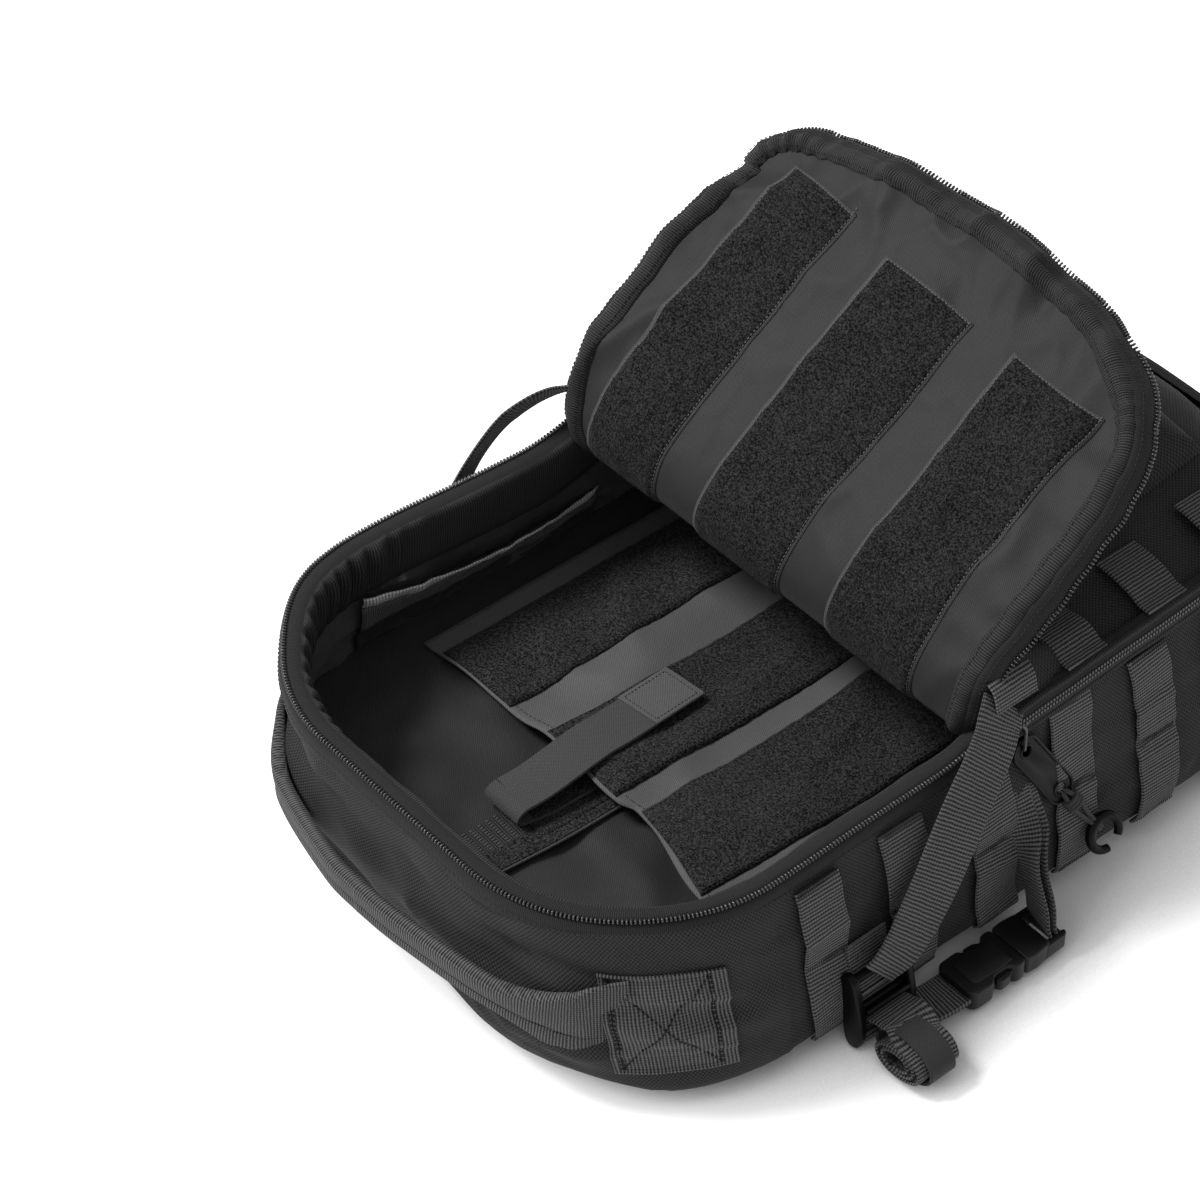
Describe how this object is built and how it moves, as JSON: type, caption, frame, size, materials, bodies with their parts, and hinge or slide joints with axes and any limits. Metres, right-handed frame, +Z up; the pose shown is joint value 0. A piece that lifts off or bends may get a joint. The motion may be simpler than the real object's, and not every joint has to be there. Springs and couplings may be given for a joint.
{
  "type": "trauma backpack",
  "caption": "Soft-sided trauma backpack lying on its back with its front lid unzipped and folded open, webbing rows outside and hook-and-loop strips inside.",
  "frame": {"origin": "middle of the bag's footprint on the surface that it lies on", "axes": "+Z up, +X across to the bag's right as seen from its top end, +Y towards the bottom end, -Y towards the top end with the carrying handle"},
  "size_m": [0.426, 0.476, 0.2475],
  "materials": {
    "pack_cloth": "coarse plain weave nylon",
    "lining_cloth": "fine twill lining",
    "webbing": "ribbed nylon webbing",
    "loop_tape": "napped loop tape",
    "binding_tape": "ribbed grosgrain",
    "zipper_tape": "woven tape",
    "zipper_teeth": "satin coil",
    "elastic_mesh": "shiny elastic",
    "buckle_plastic": "moulded, satin to gloss",
    "pull_rubber": "moulded gloss",
    "slider_metal": "black enamel",
    "cord": "braided",
    "pad_mesh": "spacer mesh over foam"
  },
  "bodies": {
    "bag": {"back_panel": "pack_cloth", "yoke_pad": "pad_mesh", "lumbar_pad": "pad_mesh", "top_panel": "pack_cloth", "side_panel_left": "pack_cloth", "side_panel_right": "pack_cloth", "bottom_panel": "pack_cloth", "front_gusset": "pack_cloth", "front_panel": "pack_cloth", "front_pocket": "pack_cloth", "front_pocket_zipper": "zipper_teeth", "molle_front_rows": "webbing", "rim_zipper_teeth": "zipper_teeth", "rim_zipper_tape": "zipper_tape", "rim_binding": "binding_tape", "side_zipper_chains": "zipper_teeth", "sleeve_panel": "lining_cloth", "sleeve_loop_strips": "loop_tape", "sleeve_tab_root": "loop_tape", "hanger_webbing": "webbing", "wall_pocket": "elastic_mesh", "molle_side_rows": "webbing", "molle_gusset_rows": "webbing", "handle_ends": "webbing", "upper_straps": "webbing", "ladder_locks": "buckle_plastic", "lock_webbing": "webbing", "buckle_sockets": "buckle_plastic", "socket_webbing": "webbing", "buckle_straps": "webbing"},
    "lid": {"lid_panel": "lining_cloth", "lid_binding": "binding_tape", "lid_zipper_tape": "zipper_tape", "lid_zipper_teeth": "zipper_teeth", "lid_loop_strips": "loop_tape", "lid_pocket": "pack_cloth", "lid_molle_rows": "webbing", "lid_pocket_zipper": "zipper_teeth"},
    "handle": {"handle_grip": "webbing"},
    "tab": {"sleeve_tab": "loop_tape"},
    "slider_left": {"zipper_slider_left": "slider_metal"},
    "pull_left": {"pull_tab_left": "pull_rubber", "pull_cord_left": "cord", "pull_ring_left": "buckle_plastic"},
    "buckle_left": {"buckle_male_left": "buckle_plastic"},
    "tail_left": {"strap_tail_left": "webbing", "tail_keeper_left": "loop_tape"},
    "harness_left": {"shoulder_strap_left": "pad_mesh", "strap_webbing_left": "webbing", "strap_adjuster_left": "buckle_plastic"},
    "slider_right": {"zipper_slider_right": "slider_metal"},
    "pull_right": {"pull_tab_right": "pull_rubber", "pull_cord_right": "cord", "pull_ring_right": "buckle_plastic"},
    "buckle_right": {"buckle_male_right": "buckle_plastic"},
    "tail_right": {"strap_tail_right": "webbing", "tail_keeper_right": "loop_tape"},
    "harness_right": {"shoulder_strap_right": "pad_mesh", "strap_webbing_right": "webbing", "strap_adjuster_right": "buckle_plastic"}
  },
  "joints": [
    {"name": "lid_fold", "type": "hinge", "parent": "bag", "child": "lid", "pos_m": [0, -0.009, 0.1165], "axis": [1, 0, 0], "range_deg": [0, 143]},
    {"name": "handle_swing", "type": "hinge", "parent": "bag", "child": "handle", "pos_m": [0, -0.204, 0.05], "axis": [1, 0, 0], "range_deg": [0, 40]},
    {"name": "tab_lift", "type": "hinge", "parent": "bag", "child": "tab", "pos_m": [0, -0.131, 0.036], "axis": [-1, 0, 0], "range_deg": [-100, 0]},
    {"name": "slider_left_slide", "type": "slide", "parent": "bag", "child": "slider_left", "axis": [0, 1, 0], "range_m": [0, 0.085]},
    {"name": "pull_left_swing", "type": "hinge", "parent": "slider_left", "child": "pull_left", "pos_m": [-0.14885, 0.026, 0.09856], "axis": [0, 1, 0], "range_deg": [0, 100]},
    {"name": "buckle_left_release", "type": "slide", "parent": "bag", "child": "buckle_left", "axis": [0, 1, 0], "range_m": [0, 0.026]},
    {"name": "tail_left_lift", "type": "hinge", "parent": "bag", "child": "tail_left", "pos_m": [-0.176, -0.075, 0.0118], "axis": [0, 1, 0], "range_deg": [0, 48]},
    {"name": "harness_left_swing", "type": "hinge", "parent": "bag", "child": "harness_left", "pos_m": [-0.038, -0.158, 0.0134], "axis": [0.2336, -0.9723, 0], "range_deg": [0, 80]},
    {"name": "slider_right_slide", "type": "slide", "parent": "bag", "child": "slider_right", "axis": [0, 1, 0], "range_m": [0, 0.085]},
    {"name": "pull_right_swing", "type": "hinge", "parent": "slider_right", "child": "pull_right", "pos_m": [0.14885, 0.026, 0.09856], "axis": [0, -1, 0], "range_deg": [0, 100]},
    {"name": "buckle_right_release", "type": "slide", "parent": "bag", "child": "buckle_right", "axis": [0, 1, 0], "range_m": [0, 0.026]},
    {"name": "tail_right_lift", "type": "hinge", "parent": "bag", "child": "tail_right", "pos_m": [0.176, -0.075, 0.0118], "axis": [0, -1, 0], "range_deg": [0, 48]},
    {"name": "harness_right_swing", "type": "hinge", "parent": "bag", "child": "harness_right", "pos_m": [0.038, -0.158, 0.0134], "axis": [0.2336, 0.9723, 0], "range_deg": [0, 80]}
  ]
}
